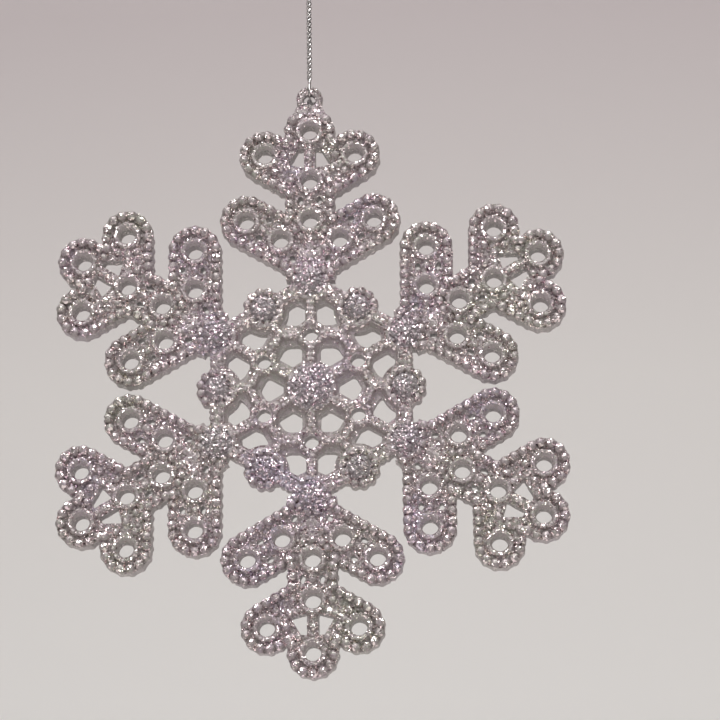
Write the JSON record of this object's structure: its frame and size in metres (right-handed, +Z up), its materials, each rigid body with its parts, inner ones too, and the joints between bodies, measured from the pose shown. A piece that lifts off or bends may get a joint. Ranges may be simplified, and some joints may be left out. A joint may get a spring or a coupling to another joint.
{
  "type": "lace snowflake ornament",
  "caption": "Flat six-armed lace snowflake in glitter-coated moulded plastic, with beaded rims, round holes, domes and a twisted metallic hanging thread",
  "frame": {"origin": "inside top of the cord's hanging loop, where a hook bears, on the centre plane of the snowflake", "axes": "+Z up along the hanging cord, +X to the right across the snowflake, -Y out of its front face"},
  "size_m": [0.1094, 0.008, 0.1782],
  "materials": {
    "glitter_silver": "silver glitter flakes over clear plastic, with faint green, blue and pink tints",
    "glitter_rose": "denser silver and pale rose glitter on the domes",
    "metallic_thread": "silver metallised thread, two strands twisted together"
  },
  "bodies": {
    "hanger": {"cord_loop": "metallic_thread", "cord_knot": "metallic_thread"},
    "cord": {"cord_twisted_pair": "metallic_thread"},
    "bight": {"cord_bight": "metallic_thread"},
    "snowflake": {"hub_lattice": "glitter_silver", "centre_dome": "glitter_rose", "neck_dome_top": "glitter_rose", "neck_dome_upper_right": "glitter_rose", "neck_dome_lower_right": "glitter_rose", "neck_dome_bottom": "glitter_rose", "neck_dome_lower_left": "glitter_rose", "neck_dome_upper_left": "glitter_rose", "button_upper_right": "glitter_rose", "button_right": "glitter_rose", "button_lower_right": "glitter_rose", "button_lower_left": "glitter_rose", "button_left": "glitter_rose", "button_upper_left": "glitter_rose", "fork_top": "glitter_silver", "fork_upper_right": "glitter_silver", "fork_lower_right": "glitter_silver", "fork_bottom": "glitter_silver", "fork_lower_left": "glitter_silver", "fork_upper_left": "glitter_silver", "tip_top": "glitter_silver", "tip_upper_right": "glitter_silver", "tip_lower_right": "glitter_silver", "tip_bottom": "glitter_silver", "tip_lower_left": "glitter_silver", "tip_upper_left": "glitter_silver", "hanging_eyelet": "glitter_silver"}
  },
  "joints": [
    {"name": "cord_twist", "type": "hinge", "parent": "hanger", "child": "cord", "pos_m": [0, 0, -0.0276], "axis": [0, 0, 1], "range_deg": [-180, 180]},
    {"name": "fore_aft_tilt", "type": "hinge", "parent": "cord", "child": "bight", "pos_m": [0, 0, -0.0451], "axis": [1, 0, 0], "range_deg": [-60, 60]},
    {"name": "side_swing", "type": "hinge", "parent": "bight", "child": "snowflake", "pos_m": [0, 0, -0.052], "axis": [0, 1, 0], "range_deg": [-75, 75]}
  ]
}
